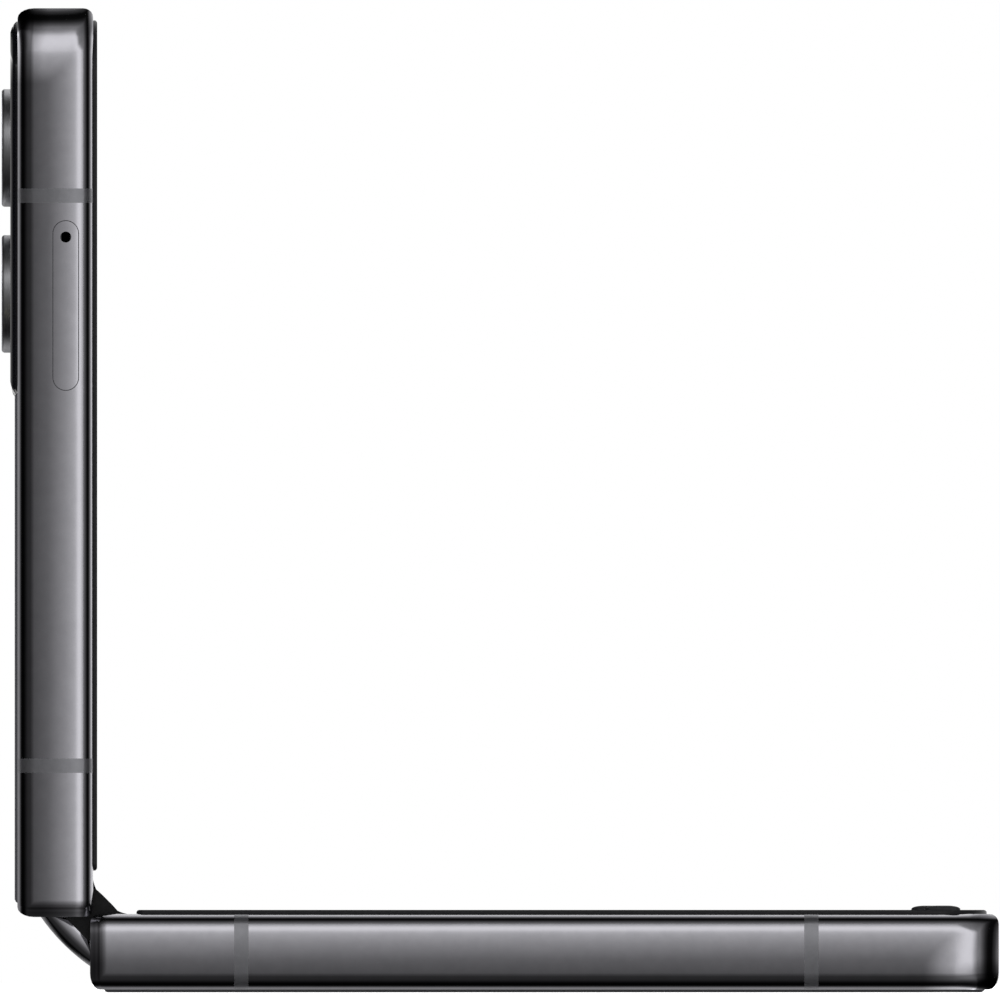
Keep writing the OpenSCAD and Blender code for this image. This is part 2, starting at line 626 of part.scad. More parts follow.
module hinge_blocks() {
    color("#7c7c80") on_spine() modules() difference() {
        union() {
            along_y(block_y[0], block_y[1]) trough_section(spine_r - spine_t - 0.03);
            for (y = [[-1.4, -0.4], [1.2, 2], [4.4, 5.2], [10, 10.8]])
                translate([-shaft_p - 0.65, y[0], -2.4]) cube([2 * shaft_p + 1.3, y[1] - y[0], 1.05]);
        }
        // grooves of the arc rails
        for (k = [0, 1]) translate([(k == 0 ? 1 : -1) * axis_d, 0, -axis_h]) difference() {
            rod_y(4, rail_y[k][0] - 0.2, rail_y[k][1] + 0.2);
            rod_y(rail_r[0] - 0.08, rail_y[k][0] - 1, rail_y[k][1] + 1);
        }
        // gear room, lever room and spring room
        translate([-shaft_p - 1.1, -0.4, idler_q - 1.05]) cube([2 * shaft_p + 2.2, 1.6, 9]);
        translate([-9, 2, -2.75]) cube([18, 2.4, 9]);
        for (s = [-1, 1]) translate([s * shaft_p, 0, shaft_q]) {
            rod_y(0.85, 5.2, 10);
            translate([-0.85, 5.2, 0]) cube([1.7, 4.8, 3]);
            rod_y(shaft_r + run_gap, -1.2, 11);
        }
        for (s = [-1, 1]) translate([s * idler_p, 0, idler_q]) rod_y(shaft_r + run_gap, -1.2, 1.8);
    }
}
// Coil spring along y, swept as one tube
module spring(r, wire, y0, y1, turns) {
    sides = 6;
    steps = 10 * turns;
    points = [for (i = [0 : steps]) let (a = 36 * i, y = y0 + wire + (y1 - y0 - 2 * wire) * i / steps)
        for (k = [0 : sides - 1]) let (b = 60 * k, rr = r + wire * cos(b))
            [rr * cos(a), y + wire * sin(b), rr * sin(a)]];
    walls = [for (i = [0 : steps - 1]) for (k = [0 : sides - 1]) let (m = (k + 1) % sides)
        [i * sides + k, i * sides + m, (i + 1) * sides + m, (i + 1) * sides + k]];
    polyhedron(points, concat([[for (k = [sides - 1 : -1 : 0]) k]],
        [[for (k = [0 : sides - 1]) steps * sides + k]], walls), convexity = 8);
}
module hinge_springs() {
    color("#9c9ca0") on_spine() modules() for (s = [-1, 1]) translate([s * shaft_p, 0, shaft_q])
        spring(0.58, 0.13, spring_y[0], spring_y[1], 6);
}
module screen_fold() {
    face_w = body_t - screen_sink;
    color("#0b0b0d") on_spine() translate([0, 0, fold_q(face_w, fold_r)])
        along_y(-screen_y, screen_y) sector(fold_r, fold_r + screen_t, -90 - tilt, -90 + tilt);
}
module fold_flex() {
    r = 3.2;
    w = axis_w - 0.46;
    color("#b07a2c") on_spine() translate([0, 0, fold_q(w + 0.12, r - 0.12)])
        along_y(-5, 5) sector(r - 0.12, r, -90 - tilt, -90 + tilt);
}
tooth_step = 360 / gear_teeth;
tip_r = gear_r + 0.13;
root_r = gear_r - 0.2;
module gear(first) {
    rotate(first) {
        circle(root_r + eps);
        for (i = [0 : gear_teeth - 1]) rotate(i * tooth_step)
            polygon([for (c = [[root_r - 0.1, -10], [root_r, -10], [gear_r, -6.3], [tip_r, -2.8],
                [tip_r, 2.8], [gear_r, 6.3], [root_r, 10], [root_r - 0.1, 10]])
                [c[0] * cos(c[1] * 10 / gear_teeth), c[0] * sin(c[1] * 10 / gear_teeth)]]);
    }
}
// Angle of a tooth on the gear that meshes in direction dir with one that has a tooth at angle first
function mate(first, dir) = dir + 180 - (first - dir) + tooth_step / 2;
up_dir = atan2(shaft_q - idler_q, shaft_p - idler_p);
right_idler = 180;
left_idler = mate(right_idler, 180);
right_arm = mate(right_idler, up_dir);
left_arm = mate(left_idler, 180 - up_dir);
// Shaft with its timing gear, lever, cross pin and friction collar
module lever(first, dir) {
    along_y(gear_y[0], gear_y[1]) gear(first);
    rod_y(shaft_r, -1.1, 10.7);
    rod_y(0.62, lever_y[0], lever_y[1]);
    rod_y(0.7, 5.3, 5.9);
    rotate([0, -dir, 0]) {
        translate([0, lever_y[0], -0.3]) cube([lever_len, lever_y[1] - lever_y[0], 0.6]);
        translate([lever_len, 0, 0]) {
            rod_y(0.42, lever_y[0], lever_y[1]);
            rod_y(pin_r, lever_y[0], lug_y[1] + 0.1);
        }
    }
}
module lower_levers() {
    color("#95959a") on_spine() modules() translate([shaft_p, 0, shaft_q]) lever(right_arm, tilt);
}
module upper_levers() {
    color("#95959a") on_spine() modules() translate([-shaft_p, 0, shaft_q]) lever(left_arm, 180 - tilt);
}
module idler(p, first) {
    translate([p, 0, idler_q]) {
        along_y(gear_y[0], gear_y[1]) gear(first);
        rod_y(shaft_r, -1.1, 1.7);
    }
}
module lower_idler_gears() { color("#b0a070") on_spine() modules() idler(idler_p, right_idler); }
module upper_idler_gears() { color("#b0a070") on_spine() modules() idler(-idler_p, left_idler); }

lower_frame();
lower_antenna_breaks();
lower_back_glass();
lower_battery();
lower_board();
usb_port();
usb_tongue();
loudspeaker();
vibration_motor();
lower_screen_rim();
lower_screen();
screen_bumpers();
lower_wing_plate();
lower_rotators();
lower_flex();
lower_screws();
charging_coil();
upper_frame();
upper_antenna_breaks();
upper_back_glass();
camera_window();
cover_display();
camera_rings();
camera_lenses();
camera_modules();
flash_lens();
upper_battery();
main_board();
earpiece();
front_camera();
upper_screen_rim();
upper_screen();
upper_wing_plate();
upper_rotators();
upper_flex();
upper_screws();
card_socket();
key_switches();
sim_tray();
sim_card();
volume_key();
side_key();
spine_cover();
fold_end_caps();
hinge_blocks();
hinge_springs();
screen_fold();
fold_flex();
lower_levers();
upper_levers();
lower_idler_gears();
upper_idler_gears();
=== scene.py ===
"""A folding phone, half open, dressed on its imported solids. Lengths are millimetres until a mesh is made."""

import math

import bmesh
import bpy
import numpy as np
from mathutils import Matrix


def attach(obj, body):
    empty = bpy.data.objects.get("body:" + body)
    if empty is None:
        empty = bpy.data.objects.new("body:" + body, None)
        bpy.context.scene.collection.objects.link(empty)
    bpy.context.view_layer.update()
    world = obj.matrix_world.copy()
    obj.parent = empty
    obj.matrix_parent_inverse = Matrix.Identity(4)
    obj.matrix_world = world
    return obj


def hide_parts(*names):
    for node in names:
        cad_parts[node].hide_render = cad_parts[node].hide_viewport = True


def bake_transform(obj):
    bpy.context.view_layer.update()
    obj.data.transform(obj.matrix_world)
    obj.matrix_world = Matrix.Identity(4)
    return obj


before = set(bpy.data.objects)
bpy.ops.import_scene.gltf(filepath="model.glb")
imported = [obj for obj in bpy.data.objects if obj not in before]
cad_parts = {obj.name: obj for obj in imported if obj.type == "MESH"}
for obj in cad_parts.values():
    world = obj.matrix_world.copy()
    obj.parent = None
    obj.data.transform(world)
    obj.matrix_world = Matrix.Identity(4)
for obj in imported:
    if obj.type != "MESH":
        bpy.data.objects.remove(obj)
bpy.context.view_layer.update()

# ---- The view: a long lens square on to the phone's side ----
# The lens is long and far off, in line with both screen faces, so that each lies edge-on.
# The view is fixed by its width and its middle, both taken in the plane of the phone's near side.
LENS, SENSOR = 1650.0, 36.0
VIEW_WIDTH, NEAR_SIDE = 90.51, -35.95            # width of the view, and the near side's Y
VIEW_CENTRE, EYE = (-4.09, 44.57), (-40.7, 7.4)  # X and Z of the view's middle and of the lens
distance = VIEW_WIDTH * LENS / SENSOR
camera = bpy.data.objects.new("camera", bpy.data.cameras.new("camera"))
camera.data.lens, camera.data.sensor_width = LENS, SENSOR
camera.data.clip_start, camera.data.clip_end = 0.1, 20.0
camera.location = (EYE[0] / 1000, (NEAR_SIDE - distance) / 1000, EYE[1] / 1000)
camera.rotation_euler = (math.pi / 2 + math.atan2(VIEW_CENTRE[1] - EYE[1], distance), 0,
                         -math.atan2(VIEW_CENTRE[0] - EYE[0], distance))
bpy.context.collection.objects.link(camera)
bpy.context.scene.camera = camera
bpy.context.scene.view_settings.view_transform = "Standard"

# ---- The table: a plain pale floor in a pale room ----
# It is matt white laminate under an even white sky, and two soft lamps give the light a direction.
# The floor and the lamps stay out of the metal's reflections, which the studio below gives instead.
PER_MM = 1000.0                                  # texture scale for one grain in each millimetre


def linear(code):
    """sRGB hex to linear light: the low end is divided by 12.92, the rest is a power of 2.4."""
    c = np.array([int(code[i:i + 2], 16) / 255 for i in (1, 3, 5)])
    return (*np.where(c <= 0.04045, c / 12.92, ((c + 0.055) / 1.055) ** 2.4), 1.0)


def add(tree, kind, inputs=None, stops=(), **settings):
    """Adds one node, sets its properties and its (place, hex) stops, and fills its inputs or links them."""
    node = tree.nodes.new(kind)
    for key, value in settings.items():
        setattr(node, key, value)
    if stops:
        bar = node.color_ramp.elements
        while len(bar) < len(stops):
            bar.new(0.5)
        for element, (place, code) in zip(bar, stops):
            element.position, element.color = place, linear(code)
    for key, value in (inputs or {}).items():
        if isinstance(value, bpy.types.NodeSocket):
            tree.links.new(value, node.inputs[key])
        else:
            node.inputs[key].default_value = value
    return node


def blank(name):
    """A material with an empty tree."""
    made = bpy.data.materials.new(name)
    made.use_nodes = True
    made.node_tree.nodes.clear()
    return made, made.node_tree


def put_mesh(name, points, faces):
    """Row-frame points in millimetres and faces become an object with smooth shading."""
    mesh = bpy.data.meshes.new(name)
    mesh.from_pydata((np.asarray(points, float) / 1000).tolist(), [], faces)
    mesh.validate()
    mesh.shade_smooth()
    made = bpy.data.objects.new(name, mesh)
    bpy.context.collection.objects.link(made)
    return made


FLOOR_R, FLOOR_STEPS, FLOOR_SINK = 450.0, 96, 0.02       # it lies just below the phone's lowest face
turn = np.linspace(0, 2 * np.pi, FLOOR_STEPS, endpoint=False)
floor = put_mesh("floor", np.c_[FLOOR_R * np.cos(turn), FLOOR_R * np.sin(turn),
                                np.full(FLOOR_STEPS, -FLOOR_SINK)], [list(range(FLOOR_STEPS))])
# A faint cloud 25 mm wide runs through its print, and a little light of its own keeps it as pale as the room.
laminate, tree = blank("white_laminate")
spot = add(tree, "ShaderNodeTexCoord").outputs["Object"]
cloud = add(tree, "ShaderNodeTexNoise", {"Vector": spot, "Scale": PER_MM / 25})
tone = add(tree, "ShaderNodeValToRGB", {"Fac": cloud.outputs["Fac"]}, stops=[(0, "#f6f6f6"), (1, "#fafafa")])
shader = add(tree, "ShaderNodeBsdfPrincipled", {
    "Base Color": tone.outputs["Color"], "Roughness": 0.9, "Specular IOR Level": 0.1,
    "Emission Color": (1, 1, 1, 1), "Emission Strength": 0.7})
add(tree, "ShaderNodeOutputMaterial", {"Surface": shader.outputs[0]})
floor.data.materials.append(laminate)
floor.visible_glossy = False

world = bpy.data.worlds.new("pale_room")
world.use_nodes = True
world.node_tree.nodes["Background"].inputs["Color"].default_value = (1, 1, 1, 1)
world.node_tree.nodes["Background"].inputs["Strength"].default_value = 1.0
bpy.context.scene.world = world
LAMPS = [("key_lamp", (-0.5, -0.9, 0.9), 0.5, 6.0),      # name, place and side in metres, and watts
         ("fill_lamp", (0.9, -0.3, 0.7), 0.6, 4.0)]
for label, place, size, power in LAMPS:
    lamp = bpy.data.objects.new(label, bpy.data.lights.new(label, "AREA"))
    lamp.data.energy, lamp.data.size = power, size
    lamp.visible_glossy = False
    lamp.location = place
    lamp.rotation_euler = (-lamp.location).to_track_quat("-Z", "Y").to_euler()
    bpy.context.collection.objects.link(lamp)

# ---- The reflected studio: what the polished metal mirrors ----
# A dome of light and dark panels stands round the phone, as soft boxes and black cards do in a studio.
# It is seen only in reflections, and gives the polished metal its bands.
DOME_R, DOME_ROWS, DOME_COLS = 4000.0, 33, 64    # its radius, and the points up it and round it
DOME_LIGHT = 5.76                                # strength of its panels' light


def grid_faces(rows, cols, rows_meet=False, cols_meet=True):
    """Four-sided faces over rows and columns of points; where they meet, the last one joins the first."""
    row, col = np.meshgrid(np.arange(rows - 1 + rows_meet), np.arange(cols - 1 + cols_meet), indexing="ij")
    below, beside = (row + 1) % rows, (col + 1) % cols
    corners = [row * cols + col, row * cols + beside, below * cols + beside, below * cols + col]
    return np.stack(corners, -1).reshape(-1, 4).tolist()


longitude, latitude = np.meshgrid(np.linspace(0, 2 * np.pi, DOME_COLS, endpoint=False),
                                  np.linspace(-np.pi / 2, np.pi / 2, DOME_ROWS))
shell = DOME_R * np.stack([np.cos(latitude) * np.cos(longitude), np.cos(latitude) * np.sin(longitude),
                           np.sin(latitude)], -1).reshape(-1, 3)
dome = put_mesh("reflected_studio", shell, grid_faces(DOME_ROWS, DOME_COLS))
panels, tree = blank("studio_panels")
# A direction is told by how far it turns from the camera towards up and towards the right, in degrees.
# Panels lie square to both ways: the greater turn picks the light, and a turn down or to the left dims it.
LIGHT = [(0, "#5d5d5d"), (5.5, "#686868"), (11, "#787878"), (16, "#858585"), (22, "#949494"), (27, "#a5a5a5"),
         (30, "#afafaf"), (32.4, "#c0c0c0"), (33.8, "#e4e4e4"), (36.6, "#eeeeee"), (37.5, "#d4d4d4"),
         (39, "#909090"), (41, "#7a7a7a"), (52, "#606060"), (63, "#444444"), (70, "#2a2a2a"), (81, "#0c0c0c"),
         (95, "#080808"), (106, "#383838"), (118, "#7a7a7a"), (128, "#b4b4b4"), (144, "#c8c8c8"),
         (179, "#d8d8d8")]
DIM = [(-160, "#a8a8a8"), (-141, "#cccccc"), (-122, "#e4e4e4"), (-109, "#a0a0a0"), (-101, "#3c3c3c"),
       (-91, "#101010"), (-82, "#080808"), (-74, "#141414"), (-66, "#242424"), (-58, "#373737"),
       (-50, "#474747"), (-43, "#4f4f4f"), (-27, "#565656"), (-24, "#626262"), (-19, "#737373"),
       (-13, "#818181"), (-8, "#969696"), (0, "#adadad")]
CORNER = 0.1                                     # radians over which two panels round into each other
spot = add(tree, "ShaderNodeTexCoord").outputs["Object"]
way = add(tree, "ShaderNodeVectorMath", {0: spot}, operation="NORMALIZE")
part = add(tree, "ShaderNodeSeparateXYZ", {0: way.outputs[0]})
flat = add(tree, "ShaderNodeCombineXYZ", {"X": part.outputs["X"], "Z": part.outputs["Z"]})
reach = add(tree, "ShaderNodeVectorMath", {0: flat.outputs[0]}, operation="LENGTH").outputs["Value"]
away = add(tree, "ShaderNodeMath", {0: part.outputs["Y"], 1: -1.0}, operation="MULTIPLY").outputs[0]
turn = add(tree, "ShaderNodeMath", {0: reach, 1: away}, operation="ARCTAN2").outputs[0]
share = add(tree, "ShaderNodeMath", {0: turn, 1: reach}, operation="DIVIDE").outputs[0]
up, right = [add(tree, "ShaderNodeMath", {0: share, 1: part.outputs[axis]}, operation="MULTIPLY").outputs[0]
             for axis in ("Z", "X")]
tones = []
for panel, pick in ((LIGHT, "SMOOTH_MAX"), (DIM, "SMOOTH_MIN")):
    picked = add(tree, "ShaderNodeMath", {0: up, 1: right, 2: CORNER}, operation=pick).outputs[0]
    place = add(tree, "ShaderNodeMapRange", {"Value": picked, "From Min": -math.pi, "From Max": math.pi})
    stops = [((degrees + 180) / 360, code) for degrees, code in panel]
    tones.append(add(tree, "ShaderNodeValToRGB", {"Fac": place.outputs[0]}, stops=stops).outputs["Color"])
both = add(tree, "ShaderNodeMix", {"Factor": 1.0, 6: tones[0], 7: tones[1]},
           data_type="RGBA", blend_type="MULTIPLY")
glow = add(tree, "ShaderNodeEmission", {"Color": both.outputs[2], "Strength": DOME_LIGHT})
add(tree, "ShaderNodeOutputMaterial", {"Surface": glow.outputs[0]})
dome.data.materials.append(panels)
dome.visible_camera = dome.visible_diffuse = dome.visible_shadow = False
dome.visible_transmission = dome.visible_volume_scatter = False

# ---- Frames of the two halves ----
# Each half's rim is milled from one aluminium block, bead-blasted, polished and dyed dark graphite.
# It keeps the solid's shape, and its long convex sides get the smooth normals that a polished rim has.
HALF_LEN, HALF_W = 82.4, 35.95                   # length of a half, and half its width
HINGE_R, FREE_R = 1.05, 7.0                      # plan radii of its corners at the hinge and at the free end
SPINE = np.array([-39.758112, 8.263158])         # middle of the fold at the frame edge, row X and Z
UPPER_X, UPPER_Z = -48.021270, 6.821270          # shift of the upper half's own frame in the row
# height w, and the surface's lean towards the screen in degrees
RIM_TILT = ([0.25, 0.323, 0.536, 0.868, 1.286, 1.75, 6.2, 6.478, 6.729, 6.928, 7.1],
            [-80, -66, -52, -36, -18, -4, 20, 36, 52, 66, 80])
# a corner's polished surface turns otherwise than its arc: turn in plan of the arc, and of the surface
FREE_TURN = ([0, 12.9, 25.7, 38.6, 44, 48, 51.4, 57, 64.3, 77.1, 90],
             [0, 10, 15.6, 17.6, 19.1, 20.4, 30, 39, 47.5, 56, 58.5])
HINGE_TURN = ([0, 12.9, 25.7, 38.6, 51.4, 90], [14, 31.5, 26, 29, 27.5, 24])
FREE_ROWS = (44, 48, 57)                         # turns of the arc at which a free corner gets rows of points
# height w, and the further lean at the free end in degrees
FREE_SWELL = ([0.25, 0.323, 0.536, 0.868, 1.286, 1.75, 4.8, 5.4, 6.2, 6.478, 6.729, 6.928, 7.1],
              [22, 16, 8, -2, -8, -6, 0, 2.5, 9, 2, 0, -10, -20])
SWELL_ROW = 5.4                                  # height w at which the swell gets a row of points
SWELL_FROM, SWELL_RUN = 3.9, 2.6                 # it starts this far before the end, and grows over this
END_BLEND, HINGE_BLEND = 2.5, 0.5                # runs over which the end face and the long side are reached
LEVEL = 0.995                                    # share of w in a normal past which a face counts as level
SLACK = 0.01                                     # rounding that the place of a corner's last point may have
FULL_OUTLINE = (0, HALF_LEN, HALF_W, HINGE_R, FREE_R, (HINGE_TURN, FREE_TURN))


def to_half(points, upper):
    """Row millimetres to a half's own u, y, w, where u leaves the hinge and w rises to the screen.

    The lower half's u is X moved by half its length. The upper half's u is Z and its w is X, both moved.
    """
    x, y, z = points.T
    if upper:
        return np.c_[z - UPPER_Z, y, x - UPPER_X]
    return np.c_[x + HALF_LEN / 2, y, z]


def to_row(points, upper):
    """A half's own u, y, w back to row millimetres: the upper half swaps u and w."""
    u, y, w = np.asarray(points, float).reshape(-1, 3).T
    if upper:
        return np.c_[w + UPPER_X, y, u + UPPER_Z]
    return np.c_[u - HALF_LEN / 2, y, w]


def turned(vectors, upper):
    """Directions from a half's own frame to the row's."""
    return vectors[:, [2, 1, 0]] if upper else vectors


def values_of(items, field, width=1, kind=float):
    """One value of every mesh item, or a row of so many, as an array."""
    values = np.empty(len(items) * width, kind)
    items.foreach_get(field, values)
    return values.reshape(-1, width) if width > 1 else values


def outline_way(local, low_u, high_u, half_w, low_r, high_r, turns=None):
    """Outward direction in plan: radial round a corner's centre, straight out along a side.

    With turns, each corner's own turn takes the place of its arc's, and grows to a right angle along the end.
    """
    u, y = local[:, 0], local[:, 1]
    near = np.where(u > HALF_LEN / 2, high_r, low_r)
    along = np.where(u < low_u + low_r, u - low_u - low_r, 0)
    along = np.where(u > high_u - high_r, u - high_u + high_r, along)
    inward = half_w - near - np.abs(y)
    way = np.c_[along, np.maximum(-inward, 0) * np.sign(y)]
    size = np.linalg.norm(way, axis=1)
    if turns:
        arc = np.degrees(np.arctan2(np.abs(along), np.abs(way[:, 1])))
        at_hinge = u < low_u + low_r + SLACK
        turn = np.where(at_hinge, np.interp(arc, *turns[0]), np.interp(arc, *turns[1]))
        turn = np.radians(turn + (90 - turn) * np.clip(inward / END_BLEND, 0, 1))
        sense = np.where(at_hinge, -1, 1)
        bent = np.c_[sense * np.sin(turn), np.sign(y) * np.cos(turn)] * size[:, None]
        way = np.where((at_hinge | (along > 1e-6))[:, None], bent, way)
    return way / np.maximum(size, 1e-9)[:, None], size > 1e-6


def cut_rows(mesh, upper):
    """Splits a rim at planes across y, w and u, so that it has points where its turn or its swell changes."""
    along, across, over = turned(np.eye(3), upper)
    side_y = HALF_W - FREE_R - END_BLEND
    planes = [((0, -side_y, 0), across), ((0, side_y, 0), across), ((0, 0, SWELL_ROW), over),
              ((HINGE_R + HINGE_BLEND, 0, 0), along)]
    planes += [((HALF_LEN - FREE_R + FREE_R * math.sin(math.radians(a)), 0, 0), along) for a in FREE_ROWS]
    shape = bmesh.new()
    shape.from_mesh(mesh)
    for place, way in planes:
        bmesh.ops.bisect_plane(shape, geom=[*shape.verts, *shape.edges, *shape.faces],
                               plane_co=to_row(place, upper)[0] / 1000, plane_no=way)
    shape.to_mesh(mesh)
    shape.free()


def polished(node, name, upper, tilt, outline, limit=60.0):
    """Copies a solid and leans its edge normals out by a smooth curve of angle against height w.

    A normal is the outward direction in plan times the lean's cosine, with the lean's sine along w.
    """
    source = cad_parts[node]
    made = source.copy()
    made.data = source.data.copy()
    made.name = name
    made.parent = None
    bpy.context.collection.objects.link(made)
    mesh = made.data
    if outline is FULL_OUTLINE:
        cut_rows(mesh, upper)
    corner = values_of(mesh.loops, "vertex_index", kind=int)
    sides = values_of(mesh.polygons, "loop_total", kind=int)
    flat = np.repeat(values_of(mesh.polygons, "normal", 3), sides, axis=0)
    local = to_half(values_of(mesh.vertices, "co", 3)[corner] * 1000, upper)
    way, known = outline_way(local, *outline)
    lean = np.interp(local[:, 2], *tilt)
    if outline is FULL_OUTLINE:
        grown = np.clip((local[:, 0] - HALF_LEN + SWELL_FROM) / SWELL_RUN, 0, 1)
        lean += grown ** 2 * (3 - 2 * grown) * np.interp(local[:, 2], *FREE_SWELL)
    lean = np.radians(lean)
    smooth = turned(np.c_[way * np.cos(lean)[:, None], np.sin(lean)], upper)
    level = np.abs(turned(flat, upper)[:, 2]) > LEVEL
    fits = known & ~level & ((smooth * flat).sum(1) > math.cos(math.radians(limit)))
    # a level face, and a face whose corners disagree, keep their own flat normal
    fits = np.repeat(np.logical_and.reduceat(fits, np.r_[0, np.cumsum(sides)[:-1]]), sides)
    mesh.shade_smooth()
    mesh.normals_split_custom_set(np.where(fits[:, None], smooth, flat).tolist())
    mesh.materials.clear()
    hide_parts(node)
    return made


# Bead-blasted before dyeing: the grit's tooth, truly some 0.05 mm wide, is drawn three times as wide to show.
# The polish over it leaves a faint haze about a millimetre wide.
anodised, tree = blank("anodised_aluminium")
spot = add(tree, "ShaderNodeTexCoord").outputs["Object"]
haze = add(tree, "ShaderNodeTexNoise", {"Vector": spot, "Scale": 0.9 * PER_MM, "Detail": 3.0}).outputs["Fac"]
tooth = add(tree, "ShaderNodeTexNoise", {"Vector": spot, "Scale": 6 * PER_MM, "Detail": 2.0}).outputs["Fac"]
tone = add(tree, "ShaderNodeValToRGB", {"Fac": haze}, stops=[(0.3, "#98979c"), (0.7, "#9d9ca1")])
rough = add(tree, "ShaderNodeMapRange", {"Value": haze, "To Min": 0.08, "To Max": 0.13})
dent = add(tree, "ShaderNodeBump", {"Height": tooth, "Strength": 0.02, "Distance": 0.02 / 1000})
shader = add(tree, "ShaderNodeBsdfPrincipled", {
    "Base Color": tone.outputs["Color"], "Metallic": 1.0, "Roughness": rough.outputs[0],
    "Normal": dent.outputs[0]})
add(tree, "ShaderNodeOutputMaterial", {"Surface": shader.outputs[0]})
halves = [("lower", False, "lower_half"), ("upper", True, "upper_half")]
for side, upper, body in halves:
    rim = polished(f"{side}_frame", f"{side}_rim", upper, RIM_TILT, FULL_OUTLINE)
    rim.data.materials.append(anodised)
    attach(rim, body)

# ---- Antenna breaks ----
# Strips of glass-filled plastic moulded into slits in the rim, then machined flush and dyed to match.
# Flake in the dye gives them nearly the rim's own shine, over a flow grain about 0.7 mm wide.


def grained(name, low, high, rough, metal=0.0, per_mm=1.5, detail=3.0, dent=0.06, depth=0.03, **more):
    """A material in one fine grain, which runs between two close tones, and between a pair of roughnesses.

    There are per_mm grains in a millimetre. dent is the strength of their bump, and depth its millimetres.
    """
    made, tree = blank(name)
    spot = add(tree, "ShaderNodeTexCoord").outputs["Object"]
    grain = add(tree, "ShaderNodeTexNoise", {"Vector": spot, "Scale": per_mm * PER_MM, "Detail": detail})
    grain = grain.outputs["Fac"]
    tone = add(tree, "ShaderNodeValToRGB", {"Fac": grain}, stops=[(0.3, low), (0.7, high)])
    if isinstance(rough, tuple):
        spread = {"Value": grain, "To Min": rough[0], "To Max": rough[1]}
        rough = add(tree, "ShaderNodeMapRange", spread).outputs[0]
    if dent:
        pits = {"Height": grain, "Strength": dent, "Distance": depth / 1000}
        more["Normal"] = add(tree, "ShaderNodeBump", pits).outputs[0]
    shader = add(tree, "ShaderNodeBsdfPrincipled", {
        "Base Color": tone.outputs["Color"], "Metallic": metal, "Roughness": rough, **more})
    add(tree, "ShaderNodeOutputMaterial", {"Surface": shader.outputs[0]})
    return made


antenna_plastic = grained("moulded_antenna_plastic", "#828286", "#88888c", 0.3, 0.92, dent=0.05, depth=0.02)
for side, upper, body in halves:
    strips = polished(f"{side}_antenna_breaks", f"{side}_antenna_strips", upper, RIM_TILT, FULL_OUTLINE)
    strips.data.materials.append(antenna_plastic)
    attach(strips, body)

# ---- Back glass ----
# Toughened glass, acid-etched to a satin face and backed with a dark film; its edge is ground round.
# The lower half has one whole pane, and the upper half's stops where the camera window starts.
GLASS_IN, GLASS_CORNER, PANE_CORNER = 1.2, 0.5, 0.6      # inset from the rim, and corners at hinge and window
PANE_END, WINDOW_START = HALF_LEN - 34.85, HALF_LEN - 34.8
GLASS_TILT = ([0.0, 0.12, 0.35, 0.85], [-72, -42, -6, 0])
# The etch's pits, truly a few hundredths of a millimetre wide, are drawn 0.3 mm wide so that they show.
# The film behind is printed in a faint cloud 25 mm wide.
satin_glass, tree = blank("etched_back_glass")
spot = add(tree, "ShaderNodeTexCoord").outputs["Object"]
etch = add(tree, "ShaderNodeTexNoise", {"Vector": spot, "Scale": 3.5 * PER_MM, "Detail": 4.0}).outputs["Fac"]
cloud = add(tree, "ShaderNodeTexNoise", {"Vector": spot, "Scale": PER_MM / 25, "Detail": 2.0}).outputs["Fac"]
tone = add(tree, "ShaderNodeValToRGB", {"Fac": cloud}, stops=[(0.3, "#323236"), (0.7, "#37373b")])
rough = add(tree, "ShaderNodeMapRange", {"Value": etch, "To Min": 0.3, "To Max": 0.44})
dent = add(tree, "ShaderNodeBump", {"Height": etch, "Strength": 0.06, "Distance": 0.02 / 1000})
shader = add(tree, "ShaderNodeBsdfPrincipled", {
    "Base Color": tone.outputs["Color"], "Roughness": rough.outputs[0], "IOR": 1.5, "Coat Weight": 0.25,
    "Coat Roughness": 0.25, "Normal": dent.outputs[0]})
add(tree, "ShaderNodeOutputMaterial", {"Surface": shader.outputs[0]})
for side, upper, body in halves:
    high, high_r = (PANE_END, PANE_CORNER) if upper else (HALF_LEN - GLASS_IN, FREE_R - GLASS_IN)
    pane = polished(f"{side}_back_glass", f"{side}_back_pane", upper, GLASS_TILT,
                    (GLASS_IN, high, HALF_W - GLASS_IN, GLASS_CORNER, high_r))
    pane.data.materials.append(satin_glass)
    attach(pane, body)

# ---- Camera window ----
# One raised sheet of polished black glass over the outer screen and cameras, with a soft ground edge.
# It is glued down on the upper half, and its polish leaves a faint wave about 17 mm long.
WINDOW_CORNER = 0.95
WINDOW_TILT = ([-0.4, -0.28, 0.0, 0.15, 0.85], [-76, -60, -35, -8, 0])
gloss_glass = grained("polished_black_glass", "#060608", "#09090c", (0.03, 0.06), per_mm=0.06, detail=1.0,
                      dent=0, **{"IOR": 1.52, "Coat Weight": 0.1, "Coat Roughness": 0.02})
window = polished("camera_window", "outer_window", True, WINDOW_TILT,
                  (WINDOW_START, HALF_LEN - GLASS_IN, HALF_W - GLASS_IN, WINDOW_CORNER, FREE_R - GLASS_IN))
window.data.materials.append(gloss_glass)
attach(window, "upper_half")

